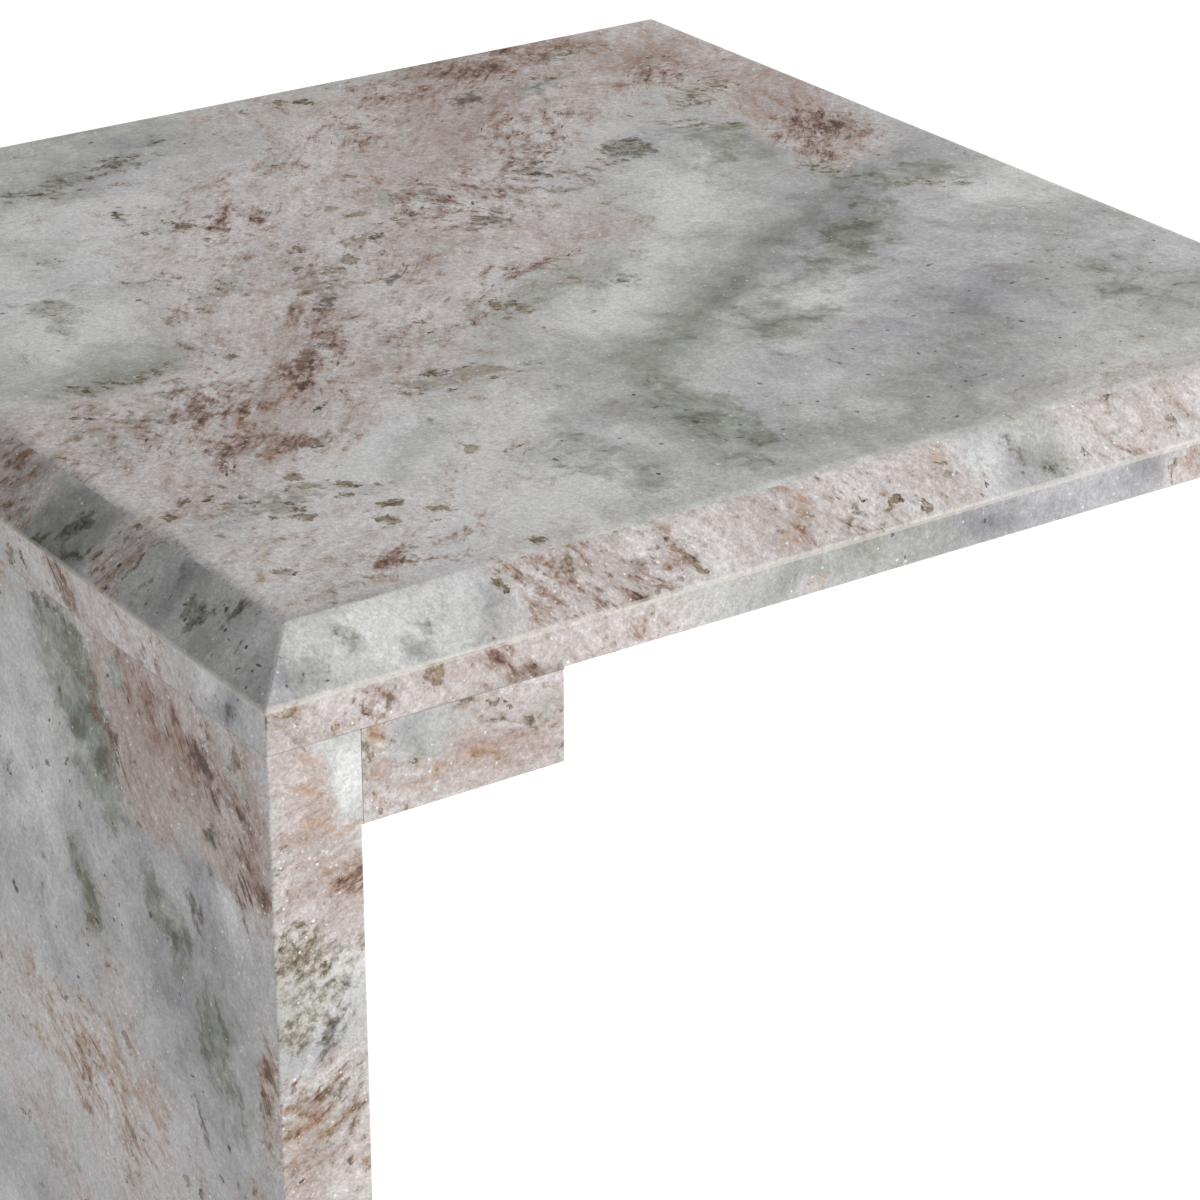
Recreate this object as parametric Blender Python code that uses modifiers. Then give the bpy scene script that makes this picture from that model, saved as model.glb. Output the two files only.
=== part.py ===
"""C-shaped side table in solid stone.

A square top with a broad chamfer round its upper edge stands on an upright panel under its
left side, and a base of the same slab, turned over, carries the upright. A stone cleat fills
each inside corner. Steel pins in blind holes tie the five stones together, and four rubber
pads keep the base off the floor.

Metres, +Z up. The origin is on the floor under the middle of the table. The upright is at
-X, the throat of the C opens towards +X, and the front is at -Y.
"""

import math

import bmesh
import bpy

# Overall size
TABLE_WIDTH = 0.450
TABLE_DEPTH = 0.450
TABLE_HEIGHT = 0.620

# Stones
SLAB_THICKNESS = 0.030
UPRIGHT_THICKNESS = 0.030
CLEAT_REACH = 0.068
CLEAT_THICKNESS = 0.030
CHAMFER = 0.0165
ARRIS = 0.0010
RIM_ARRIS = 0.0040
JOINT_GAP = 0.0003

# Pins and their blind holes
PIN_DIAMETER = 0.008
PIN_END_CHAMFER = 0.0008
PIN_CLEARANCE = 0.0003
SLAB_HOLE_DEPTH = 0.014
UPRIGHT_END_HOLE_DEPTH = 0.032
UPRIGHT_FACE_HOLE_DEPTH = 0.018
CLEAT_BED_HOLE_DEPTH = 0.016
CLEAT_BACK_HOLE_DEPTH = 0.030

# Distance of the outermost pins from the front and back edges of the stones
UPRIGHT_PIN_INSET = 0.060
CLEAT_BED_PIN_INSET = 0.110
CLEAT_BACK_PIN_INSET = 0.140

# Pads under the base
PAD_DIAMETER = 0.030
PAD_THICKNESS = 0.003
PAD_RIM_RADIUS = 0.0010
PAD_MARGIN = 0.012

# How many pins a row has, and how finely round shapes and eased edges are cut
UPRIGHT_PIN_COUNT = 3
CLEAT_PIN_COUNT = 2
ROUND_SIDES = 24
PAD_RIM_STEPS = 3
ARRIS_SEGMENTS = 2
RIM_ARRIS_SEGMENTS = 4
SHARP_ANGLE = math.radians(30)
WELD_DISTANCE = 0.00001

# Levels and faces that the stones share
LEFT = -TABLE_WIDTH / 2
RIGHT = TABLE_WIDTH / 2
FRONT = -TABLE_DEPTH / 2
BACK = TABLE_DEPTH / 2
UPRIGHT_MIDDLE = LEFT + UPRIGHT_THICKNESS / 2
UPRIGHT_INNER = LEFT + UPRIGHT_THICKNESS
CLEAT_END = UPRIGHT_INNER + CLEAT_REACH
CLEAT_MIDDLE = (UPRIGHT_INNER + CLEAT_END) / 2
BASE_BOTTOM = PAD_THICKNESS + JOINT_GAP
BASE_TOP = BASE_BOTTOM + SLAB_THICKNESS
TOP_BOTTOM = TABLE_HEIGHT - SLAB_THICKNESS


def clear_scene():
    for obj in list(bpy.data.objects):
        bpy.data.objects.remove(obj)


def new_collection(name):
    collection = bpy.data.collections.new(name)
    bpy.context.scene.collection.children.link(collection)
    return collection


def new_material(name, colour, roughness, metallic):
    material = bpy.data.materials.new(name)
    material.use_nodes = True
    shader = material.node_tree.nodes["Principled BSDF"]
    shader.inputs["Base Color"].default_value = (*colour, 1.0)
    shader.inputs["Roughness"].default_value = roughness
    shader.inputs["Metallic"].default_value = metallic
    return material


def mesh_object(name, bm, collection, location=(0, 0, 0), rotation=(0, 0, 0)):
    mesh = bpy.data.meshes.new(name)
    bm.to_mesh(mesh)
    bm.free()
    obj = bpy.data.objects.new(name, mesh)
    obj.location = location
    obj.rotation_euler = rotation
    collection.objects.link(obj)
    return obj


def add_part(name, bm, material, location, rotation=(0, 0, 0)):
    part = mesh_object(name, bm, parts, location, rotation)
    part.parent = table
    part.data.materials.append(material)
    return part


# Stones

def sawn_block(size):
    """A rectangular block of stone, centred on its own origin."""
    bm = bmesh.new()
    bmesh.ops.create_cube(bm, size=1.0)
    bmesh.ops.scale(bm, vec=size, verts=bm.verts)
    return bm


def chamfer_rim(bm, side):
    """Cuts the broad 45 degree chamfer round the upper face (side 1) or the lower face (side -1),
    then rounds its inner edge, where a hand rests, more than the other arrises."""
    bevel_rim(bm, side, CHAMFER, 1)
    bevel_rim(bm, side, RIM_ARRIS, RIM_ARRIS_SEGMENTS)


def bevel_rim(bm, side, width, segments):
    """Bevels the edges round the face that lies highest (side 1) or lowest (side -1)."""
    face = max(bm.faces, key=lambda f: side * f.calc_center_median().z)
    bmesh.ops.bevel(
        bm, geom=list(face.edges), offset=width, offset_type="OFFSET",
        segments=segments, profile=0.5, affect="EDGES", material=-1,
    )


def add_stone(name, low, high, material, chamfered_side=0):
    """A stone between two corners, with its arrises eased and, on a slab, one chamfered rim."""
    size = [b - a for a, b in zip(low, high)]
    centre = [(a + b) / 2 for a, b in zip(low, high)]
    bm = sawn_block(size)
    if chamfered_side:
        chamfer_rim(bm, chamfered_side)
    stone = add_part(name, bm, material, centre)
    arris = stone.modifiers.new("eased_arris", "BEVEL")
    arris.width = ARRIS
    arris.segments = ARRIS_SEGMENTS
    arris.limit_method = "ANGLE"
    arris.angle_limit = SHARP_ANGLE
    return stone


def add_stones():
    stones = {}
    stones["top"] = add_stone(
        "top_slab", (LEFT, FRONT, TOP_BOTTOM), (RIGHT, BACK, TABLE_HEIGHT), top_stone, 1)
    stones["base"] = add_stone(
        "base_slab", (LEFT, FRONT, BASE_BOTTOM), (RIGHT, BACK, BASE_TOP), base_stone, -1)
    stones["upright"] = add_stone(
        "upright_panel",
        (LEFT, FRONT, BASE_TOP + JOINT_GAP),
        (UPRIGHT_INNER, BACK, TOP_BOTTOM - JOINT_GAP),
        upright_stone)
    stones["upper_cleat"] = add_stone(
        "upper_cleat",
        (UPRIGHT_INNER + JOINT_GAP, FRONT, TOP_BOTTOM - CLEAT_THICKNESS),
        (CLEAT_END, BACK, TOP_BOTTOM - JOINT_GAP),
        cleat_stone)
    stones["lower_cleat"] = add_stone(
        "lower_cleat",
        (UPRIGHT_INNER + JOINT_GAP, FRONT, BASE_TOP + JOINT_GAP),
        (CLEAT_END, BACK, BASE_TOP + CLEAT_THICKNESS),
        cleat_stone)
    return stones


# Pins

def round_rod(diameter, length, end_chamfer=0.0):
    """A round rod along its own Z axis, centred on its origin."""
    bm = bmesh.new()
    bmesh.ops.create_cone(
        bm, cap_ends=True, segments=ROUND_SIDES,
        radius1=diameter / 2, radius2=diameter / 2, depth=length,
    )
    if end_chamfer:
        caps = [face for face in bm.faces if len(face.verts) == ROUND_SIDES]
        rims = [edge for cap in caps for edge in cap.edges]
        bmesh.ops.bevel(
            bm, geom=rims, offset=end_chamfer, offset_type="OFFSET",
            segments=1, profile=0.5, affect="EDGES", material=-1,
        )
    return bm


def drill(stone, drill_bit):
    hole = stone.modifiers.new("hole_" + drill_bit.name, "BOOLEAN")
    hole.operation = "DIFFERENCE"
    hole.solver = "EXACT"
    hole.object = drill_bit


def spread(count, inset):
    """Places along Y for a row of pins, the outer ones an inset away from the front and back edges."""
    first = FRONT + inset
    step = (BACK - FRONT - 2 * inset) / (count - 1)
    return [first + step * i for i in range(count)]


def add_pin(name, low, high, stones):
    """A pin between the bottoms of two facing blind holes; one drill cuts both holes in line."""
    along_x = high[0] > low[0]
    length = high[0] - low[0] if along_x else high[2] - low[2]
    centre = [(a + b) / 2 for a, b in zip(low, high)]
    rotation = (0, math.pi / 2, 0) if along_x else (0, 0, 0)
    drill_bit = mesh_object(
        name + "_drill", round_rod(PIN_DIAMETER + 2 * PIN_CLEARANCE, length),
        cutters, centre, rotation)
    drill_bit.hide_render = True
    drill_bit.display_type = "WIRE"
    drill_bit.parent = table
    for stone in stones:
        drill(stone, drill_bit)
    pin_length = length - 2 * PIN_CLEARANCE
    pin = add_part(
        name, round_rod(PIN_DIAMETER, pin_length, PIN_END_CHAMFER), pin_steel, centre, rotation)
    pin.data.shade_smooth()
    pin.data.set_sharp_from_angle(angle=SHARP_ANGLE)


def add_upright_pins(stones):
    """Upright pins stand in the ends of the upright panel and reach into the top and the base."""
    for i, y in enumerate(spread(UPRIGHT_PIN_COUNT, UPRIGHT_PIN_INSET), 1):
        add_pin(
            f"top_pin_{i}",
            (UPRIGHT_MIDDLE, y, TOP_BOTTOM - JOINT_GAP - UPRIGHT_END_HOLE_DEPTH),
            (UPRIGHT_MIDDLE, y, TOP_BOTTOM + SLAB_HOLE_DEPTH),
            (stones["top"], stones["upright"]))
        add_pin(
            f"base_pin_{i}",
            (UPRIGHT_MIDDLE, y, BASE_TOP - SLAB_HOLE_DEPTH),
            (UPRIGHT_MIDDLE, y, BASE_TOP + JOINT_GAP + UPRIGHT_END_HOLE_DEPTH),
            (stones["base"], stones["upright"]))


def add_cleat_bed_pins(stones):
    """Bed pins hold each cleat against the slab that it lies on."""
    for i, y in enumerate(spread(CLEAT_PIN_COUNT, CLEAT_BED_PIN_INSET), 1):
        add_pin(
            f"upper_cleat_bed_pin_{i}",
            (CLEAT_MIDDLE, y, TOP_BOTTOM - JOINT_GAP - CLEAT_BED_HOLE_DEPTH),
            (CLEAT_MIDDLE, y, TOP_BOTTOM + SLAB_HOLE_DEPTH),
            (stones["top"], stones["upper_cleat"]))
        add_pin(
            f"lower_cleat_bed_pin_{i}",
            (CLEAT_MIDDLE, y, BASE_TOP - SLAB_HOLE_DEPTH),
            (CLEAT_MIDDLE, y, BASE_TOP + JOINT_GAP + CLEAT_BED_HOLE_DEPTH),
            (stones["base"], stones["lower_cleat"]))


def add_cleat_back_pins(stones):
    """Back pins lie level and hold each cleat against the inner face of the upright panel."""
    levels = {
        "upper_cleat": TOP_BOTTOM - CLEAT_THICKNESS / 2,
        "lower_cleat": BASE_TOP + CLEAT_THICKNESS / 2,
    }
    for cleat, z in levels.items():
        for i, y in enumerate(spread(CLEAT_PIN_COUNT, CLEAT_BACK_PIN_INSET), 1):
            add_pin(
                f"{cleat}_back_pin_{i}",
                (UPRIGHT_INNER - UPRIGHT_FACE_HOLE_DEPTH, y, z),
                (UPRIGHT_INNER + JOINT_GAP + CLEAT_BACK_HOLE_DEPTH, y, z),
                (stones["upright"], stones[cleat]))


# Pads

def pad_outline():
    """Half section of a pad as (radius, height): its flat top, straight side, round lower rim and flat foot."""
    radius = PAD_DIAMETER / 2
    points = [(0.0, PAD_THICKNESS), (radius, PAD_THICKNESS)]
    for step in range(PAD_RIM_STEPS + 1):
        turn = math.pi / 2 * step / PAD_RIM_STEPS
        points.append((
            radius - PAD_RIM_RADIUS * (1 - math.cos(turn)),
            PAD_RIM_RADIUS * (1 - math.sin(turn)),
        ))
    points.append((0.0, 0.0))
    return points


def add_pads():
    """One pad near each corner of the flat underside that the base's chamfer leaves."""
    inset = CHAMFER + PAD_MARGIN + PAD_DIAMETER / 2
    places = {
        "pad_front_left": (LEFT + inset, FRONT + inset),
        "pad_front_right": (RIGHT - inset, FRONT + inset),
        "pad_back_left": (LEFT + inset, BACK - inset),
        "pad_back_right": (RIGHT - inset, BACK - inset),
    }
    for name, (x, y) in places.items():
        bm = bmesh.new()
        outline = [bm.verts.new((r, 0.0, z)) for r, z in pad_outline()]
        for above, below in zip(outline, outline[1:]):
            bm.edges.new((above, below))
        pad = add_part(name, bm, pad_rubber, (x, y, 0.0))
        turned = pad.modifiers.new("turned", "SCREW")
        turned.axis = "Z"
        turned.steps = ROUND_SIDES
        turned.render_steps = ROUND_SIDES
        turned.use_merge_vertices = True
        turned.merge_threshold = WELD_DISTANCE
        turned.use_smooth_shade = True


clear_scene()
parts = new_collection("c_side_table")
cutters = new_collection("drills")
table = bpy.data.objects.new("c_side_table_origin", None)
parts.objects.link(table)

top_stone = new_material("top_stone", (0.52, 0.50, 0.46), 0.28, 0.0)
base_stone = new_material("base_stone", (0.50, 0.48, 0.45), 0.30, 0.0)
upright_stone = new_material("upright_stone", (0.49, 0.46, 0.43), 0.30, 0.0)
cleat_stone = new_material("cleat_stone", (0.53, 0.45, 0.40), 0.32, 0.0)
pin_steel = new_material("pin_steel", (0.56, 0.56, 0.57), 0.35, 1.0)
pad_rubber = new_material("pad_rubber", (0.04, 0.04, 0.04), 0.80, 0.0)

table_stones = add_stones()
add_upright_pins(table_stones)
add_cleat_bed_pins(table_stones)
add_cleat_back_pins(table_stones)
add_pads()
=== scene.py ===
# %% [markdown]
# # A C-shaped side table in streaked stone
# A square top reaches out from one upright panel, and a base of the same slab keeps it from
# tipping over. Five stones, fourteen hidden pins and four pads make the table. The packed model
# holds their sizes and places, so this script only shapes the finished surfaces, polishes them
# and sets up the picture. First it loads the packed model and measures its box.

# %% Load the packed model
import math
from collections import namedtuple
from types import SimpleNamespace

import bmesh
import bpy
from mathutils import Matrix, Vector


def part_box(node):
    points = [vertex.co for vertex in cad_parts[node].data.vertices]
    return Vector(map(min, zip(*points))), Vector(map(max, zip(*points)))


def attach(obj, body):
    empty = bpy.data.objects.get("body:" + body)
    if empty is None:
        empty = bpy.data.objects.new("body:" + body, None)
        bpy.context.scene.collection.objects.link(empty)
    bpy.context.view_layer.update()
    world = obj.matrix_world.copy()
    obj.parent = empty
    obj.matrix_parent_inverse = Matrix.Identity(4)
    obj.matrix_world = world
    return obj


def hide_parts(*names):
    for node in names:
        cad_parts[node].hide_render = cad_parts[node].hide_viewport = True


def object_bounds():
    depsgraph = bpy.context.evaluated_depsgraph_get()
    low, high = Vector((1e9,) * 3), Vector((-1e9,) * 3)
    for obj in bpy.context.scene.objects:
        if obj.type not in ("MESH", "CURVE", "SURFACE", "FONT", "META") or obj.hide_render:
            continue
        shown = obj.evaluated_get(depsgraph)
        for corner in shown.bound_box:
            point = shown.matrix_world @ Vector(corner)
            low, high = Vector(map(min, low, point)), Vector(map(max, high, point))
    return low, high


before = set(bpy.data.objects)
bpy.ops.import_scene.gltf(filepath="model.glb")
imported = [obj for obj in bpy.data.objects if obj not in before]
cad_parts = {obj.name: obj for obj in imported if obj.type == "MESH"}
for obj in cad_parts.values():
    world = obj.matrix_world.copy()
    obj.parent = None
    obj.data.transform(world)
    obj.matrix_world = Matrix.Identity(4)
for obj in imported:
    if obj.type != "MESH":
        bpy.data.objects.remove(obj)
cad_box = [list(corner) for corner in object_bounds()]
LOW, HIGH = (Vector(corner) for corner in cad_box)
print("loaded", len(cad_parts), "nodes, box", cad_box)

# %% [markdown]
# The picture looks at the table's upper left front corner from close above, so the base stays
# below the frame. A long lens keeps the edges of the slab nearly parallel. The place of the
# camera is measured from the corner that it looks at, and the focal length is first given in
# pixels of a picture 1200 pixels wide, because that is how it was found.

# %% Camera
IMAGE_PIXELS = 1200
FOCAL_PIXELS = 3933.2
SENSOR_WIDTH = 36.0
NEAREST, FARTHEST = 0.05, 100.0
CAMERA_FROM_CORNER = Vector((-0.4634, -0.8336, 0.4548))
CAMERA_YAW = math.radians(34.518)
CAMERA_PITCH = math.radians(24.765)


def add_camera(corner):
    lens = bpy.data.cameras.new("camera")
    lens.sensor_width = SENSOR_WIDTH
    lens.lens = FOCAL_PIXELS / IMAGE_PIXELS * SENSOR_WIDTH
    lens.clip_start = NEAREST
    lens.clip_end = FARTHEST
    camera = bpy.data.objects.new("camera", lens)
    camera.location = corner + CAMERA_FROM_CORNER
    camera.rotation_euler = (math.pi / 2 - CAMERA_PITCH, 0.0, -CAMERA_YAW)
    bpy.context.scene.collection.objects.link(camera)
    bpy.context.scene.camera = camera
    return camera


camera = add_camera(Vector((LOW.x, LOW.y, HIGH.z)))
print("camera at", [round(c, 3) for c in camera.location], "lens", round(camera.data.lens, 1), "mm")

# %% [markdown]
# A finish is a network of nodes, and most of its nodes are arithmetic. Written node by node,
# that is hard to read. So a small class wraps one output of a node, and Python's own operators
# add the Math nodes: a sum in the script becomes a sum in the material.

# %% Sums of wires


class Wire:
    """One output of a node. Its operators add Math nodes and give wires again."""

    def __init__(self, finish, socket):
        self.finish = finish
        self.socket = socket

    def other(self, name):
        """Another output of the same node."""
        return Wire(self.finish, self.socket.node.outputs[name])

    def __add__(self, value):
        return self.finish.math("ADD", self, value)

    def __radd__(self, value):
        return self.finish.math("ADD", value, self)

    def __sub__(self, value):
        return self.finish.math("SUBTRACT", self, value)

    def __rsub__(self, value):
        return self.finish.math("SUBTRACT", value, self)

    def __mul__(self, value):
        return self.finish.math("MULTIPLY", self, value)

    def __rmul__(self, value):
        return self.finish.math("MULTIPLY", value, self)


print("operators that take a number first:", [name for name in vars(Wire) if "__r" in name])

# %% [markdown]
# Every other node comes from one method, which first applies the node's settings and then fills
# its sockets with values or links. The methods below it give the nodes that are used most a
# short name, so that a finish reads like a recipe.

# %% A finish under construction


def set_stops(elements, stops):
    """A new ramp has two stops, so the ends are set and the stops between them are added."""
    elements[0].position, elements[0].color = stops[0]
    elements[-1].position, elements[-1].color = stops[-1]
    for position, colour in stops[1:-1]:
        elements.new(position).color = colour


class Finish:
    """A material under construction."""

    def __init__(self, name):
        self.material = bpy.data.materials.new(name)
        self.material.use_nodes = True
        self.tree = self.material.node_tree
        self.shader = self.tree.nodes["Principled BSDF"]

    def node(self, kind, settings, sockets, output=0):
        node = self.tree.nodes.new(kind)
        for name, value in settings.items():
            if name == "stops":
                set_stops(node.color_ramp.elements, value)
            else:
                setattr(node, name, value)
        for name, value in sockets.items():
            self.fill(node.inputs[name], value)
        return Wire(self, node.outputs[output])

    def fill(self, socket, value):
        if isinstance(value, Wire):
            self.tree.links.new(value.socket, socket)
        else:
            socket.default_value = value

    def math(self, operation, first, second):
        return self.node("ShaderNodeMath", {"operation": operation}, {0: first, 1: second})

    def vector(self, operation, first, second, third=(0.0, 0.0, 0.0)):
        return self.node(
            "ShaderNodeVectorMath", {"operation": operation}, {0: first, 1: second, 2: third})

    def scale(self, colour, factor):
        """A colour made brighter or darker by a factor."""
        return self.node(
            "ShaderNodeVectorMath", {"operation": "SCALE"}, {0: colour, "Scale": factor})

    def step(self, value, start, end):
        """0 below start, 1 above end, and a smooth rise between them."""
        return self.node(
            "ShaderNodeMapRange", {"interpolation_type": "SMOOTHSTEP"},
            {"Value": value, "From Min": start, "From Max": end})

    def noise(self, place, scale, detail=2.0, roughness=0.5, output="Fac", dimensions="2D"):
        return self.node(
            "ShaderNodeTexNoise", {"noise_dimensions": dimensions},
            {"Vector": place, "Scale": scale, "Detail": detail, "Roughness": roughness}, output)

    def mix(self, amount, below, above):
        """Colour above laid over colour below."""
        return self.node(
            "ShaderNodeMix", {"data_type": "RGBA"}, {0: amount, 6: below, 7: above}, 2)

    def ramp(self, value, stops):
        """A colour that changes with the value, through stops of (value, colour)."""
        return self.node("ShaderNodeValToRGB", {"stops": stops}, {"Fac": value})

    def set(self, **values):
        """Fills the shader's own sockets; a name's underscores stand for blanks."""
        for name, value in values.items():
            self.fill(self.shader.inputs[name.replace("_", " ")], value)


print("a finish offers", [name for name in vars(Finish) if not name.startswith("_")])

# %% [markdown]
# The table stands on a white sheet that glows a little, like a light table, so that the ground
# stays white right up to the stone. Lamps under the sheet would do the same, but a finish that
# emits light needs no lamp and stays even. The sheet is so wide that its rim is never seen.

# %% White sheet
FLOOR_HALF_SIZE = 15.0
FLOOR_GLOW = 0.60
FLOOR_ROUGHNESS = 0.9
FLOOR_COLOUR = (0.85, 0.85, 0.85, 1.0)
WHITE = (1.0, 1.0, 1.0, 1.0)


def link_mesh(name, bm):
    """A new object at the origin from a bmesh, which is then freed."""
    mesh = bpy.data.meshes.new(name)
    bm.to_mesh(mesh)
    bm.free()
    piece = bpy.data.objects.new(name, mesh)
    bpy.context.scene.collection.objects.link(piece)
    return piece


def add_floor():
    bm = bmesh.new()
    bmesh.ops.create_grid(bm, x_segments=1, y_segments=1, size=FLOOR_HALF_SIZE)
    floor = link_mesh("floor", bm)
    paper = Finish("white_sheet")
    paper.set(Base_Color=FLOOR_COLOUR, Roughness=FLOOR_ROUGHNESS, Specular_IOR_Level=0.0,
              Emission_Color=WHITE, Emission_Strength=FLOOR_GLOW)
    floor.data.materials.append(paper.material)
    return floor


floor = add_floor()
print("white sheet,", 2 * FLOOR_HALF_SIZE, "m wide")

# %% [markdown]
# One large soft panel stands low in front, on the right. It makes the front faces the brightest
# and draws the bright line along the chamfer's lower edge. A second panel hangs high on the
# right, over the top. The left side gets only what the sheet and the room throw back, so the
# left faces are darker and the left chamfer is the darkest. The front panel doesn't light the
# sheet, which would lose its even white.

# %% Soft light
WORLD_LEVEL = 0.27
PANEL_DISTANCE = 3.0
FRONT_PANEL = {"toward": (0.50, -0.80, 0.28), "size": 2.2, "level": 0.57}
HIGH_PANEL = {"toward": (0.70, 0.10, 0.70), "size": 2.6, "level": 0.55}


def add_panel(name, toward, size, level):
    """A square soft light that gives a white card facing it the given level."""
    panel = bpy.data.lights.new(name, "AREA")
    panel.size = size
    panel.energy = level * (math.pi * PANEL_DISTANCE) ** 2
    light = bpy.data.objects.new(name, panel)
    direction = Vector(toward).normalized()
    light.location = (LOW + HIGH) / 2 + direction * PANEL_DISTANCE
    light.rotation_euler = direction.to_track_quat("Z", "Y").to_euler()
    bpy.context.scene.collection.objects.link(light)
    return light


def light_all_but(light, left_out):
    """Keeps one light off one object."""
    receivers = bpy.data.collections.new(light.name + "_receivers")
    receivers.objects.link(left_out)
    receivers.collection_objects[0].light_linking.link_state = "EXCLUDE"
    light.light_linking.receiver_collection = receivers


front_panel = add_panel("front_panel", **FRONT_PANEL)
add_panel("high_panel", **HIGH_PANEL)
light_all_but(front_panel, floor)
world = bpy.data.worlds.new("studio")
world.use_nodes = True
room = world.node_tree.nodes["Background"].inputs
room["Color"].default_value = WHITE
room["Strength"].default_value = WORLD_LEVEL
bpy.context.scene.world = world
bpy.context.scene.view_settings.view_transform = "Standard"
print("lights:", [light.name for light in bpy.data.lights])

# %% [markdown]
# Each stone is sawn as a plain block. It could be drawn corner by corner, but a cube that is
# scaled and moved to the box of its node in the packed model can't miss its place.

# %% Saw the blocks
STONES = ("top_slab", "upright_panel", "base_slab", "upper_cleat", "lower_cleat")
stone_boxes = {name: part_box(name) for name in STONES}


def saw_block(low, high):
    """A block that fills the box from its low corner to its high one."""
    bm = bmesh.new()
    bmesh.ops.create_cube(bm, size=1.0)
    bmesh.ops.scale(bm, vec=high - low, verts=bm.verts)
    bmesh.ops.translate(bm, vec=(low + high) / 2, verts=bm.verts)
    return bm


for name, (low, high) in stone_boxes.items():
    print(name, [round(size * 1000, 1) for size in high - low], "mm")

# %% [markdown]
# Then the edges are worked, in the mason's own order. The two slabs get a broad chamfer round
# one face, and its inner edge is rounded by hand polishing. All free edges are eased by a
# millimetre, which a mason calls an arris. Edges that close a joint stay sharp, so that the
# joint shows as a hairline. A bevel works on whole edges, so the faces are first cut in line
# with the cleats, where a joint ends.

# %% Work the edges
CHAMFER = 0.0165
RIM_ARRIS = 0.0040
RIM_ARRIS_STEPS = 8
ARRIS = 0.0010
ARRIS_STEPS = 4
JOINT_REACH = 0.0006
SHARP_ANGLE = math.radians(30)
CHAMFERED_SIDE = {"top_slab": 1, "base_slab": -1}


def bevel(bm, edges, width, steps):
    bmesh.ops.bevel(
        bm, geom=edges, offset=width, offset_type="OFFSET", segments=steps, profile=0.5,
        affect="EDGES", material=-1, clamp_overlap=True)


def rim_edges(bm, side):
    """Edges round the highest face (side 1) or the lowest face (side -1)."""
    face = max(bm.faces, key=lambda f: side * f.calc_center_median().z)
    return list(face.edges)


def split_at_cleats(bm, name):
    """Cuts a stone's faces in line with the free sides of the cleats, where the joints end."""
    upper_cleat, lower_cleat = stone_boxes["upper_cleat"], stone_boxes["lower_cleat"]
    cuts = [(upper_cleat[1], (1, 0, 0))]
    if name == "upright_panel":
        cuts = [(upper_cleat[0], (0, 0, 1)), (lower_cleat[1], (0, 0, 1))]
    for point, facing in cuts:
        bmesh.ops.bisect_plane(
            bm, geom=bm.verts[:] + bm.edges[:] + bm.faces[:], plane_co=point, plane_no=facing)


def inside(point, box, margin):
    low, high = box
    return all(a - margin <= p <= b + margin for a, p, b in zip(low, point, high))


def free_sharp_edges(bm, name):
    """Sharp edges that don't lie against another stone."""
    others = [box for other, box in stone_boxes.items() if other != name]
    edges = []
    for edge in bm.edges:
        middle = (edge.verts[0].co + edge.verts[1].co) / 2
        in_joint = any(inside(middle, box, JOINT_REACH) for box in others)
        if edge.calc_face_angle() > SHARP_ANGLE and not in_joint:
            edges.append(edge)
    return edges


def shape_stone(name):
    bm = saw_block(*stone_boxes[name])
    side = CHAMFERED_SIDE.get(name)
    if side:
        bevel(bm, rim_edges(bm, side), CHAMFER, 1)
        bevel(bm, rim_edges(bm, side), RIM_ARRIS, RIM_ARRIS_STEPS)
    if "cleat" not in name:
        split_at_cleats(bm, name)
    bevel(bm, free_sharp_edges(bm, name), ARRIS, ARRIS_STEPS)
    return link_mesh(name + "_polished", bm)


stones = {name: shape_stone(name) for name in STONES}
for name, stone in stones.items():
    print(name, len(stone.data.polygons), "faces")

# %% [markdown]
# Steel pins lie in blind holes inside the stones. The holes can't be seen, but the stones are
# kept as pieces of their own, so each is drilled where the pins are. A drill is a cone with two
# equal ends, made from the box of its pin, and a Boolean modifier cuts the hole. The result is
# taken as a new mesh, so that no modifier and no drill is left.

# %% Drill the pin holes
PIN_CLEARANCE = 0.0003
DRILL_SIDES = 32
pin_boxes = {name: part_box(name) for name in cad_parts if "_pin_" in name}


def make_drill(name, low, high):
    size = high - low
    axis = max(range(3), key=lambda i: size[i])
    turn = Matrix.Rotation(math.pi / 2, 3, "Y") if axis == 0 else Matrix.Identity(3)
    radius = min(size) / 2 + PIN_CLEARANCE
    bm = bmesh.new()
    bmesh.ops.create_cone(
        bm, cap_ends=True, segments=DRILL_SIDES, radius1=radius, radius2=radius,
        depth=size[axis] + 2 * PIN_CLEARANCE)
    bmesh.ops.rotate(bm, cent=(0, 0, 0), matrix=turn, verts=bm.verts)
    bmesh.ops.translate(bm, vec=(low + high) / 2, verts=bm.verts)
    return link_mesh(name + "_drill", bm)


def boxes_meet(first, second):
    return all(first[0][i] < second[1][i] and second[0][i] < first[1][i] for i in range(3))


def drill_holes(piece, box):
    """Cuts a hole for each pin that reaches into the box, and gives the number of holes."""
    pins = [pin for pin, pin_box in pin_boxes.items() if boxes_meet(pin_box, box)]
    drills = [make_drill(pin, *pin_boxes[pin]) for pin in pins]
    for drill in drills:
        cut = piece.modifiers.new("hole", "BOOLEAN")
        cut.object = drill
        cut.operation = "DIFFERENCE"
        cut.solver = "EXACT"
    bpy.context.view_layer.update()
    drilled = piece.evaluated_get(bpy.context.evaluated_depsgraph_get())
    blank = piece.data
    mesh = bpy.data.meshes.new_from_object(drilled)
    piece.modifiers.clear()
    piece.data = mesh
    mesh.name = piece.name
    bpy.data.meshes.remove(blank)
    for drill in drills:
        bpy.data.meshes.remove(drill.data)
    return len(drills)


for name, stone in stones.items():
    print(name, "has", drill_holes(stone, stone_boxes[name]), "pin holes")

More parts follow.
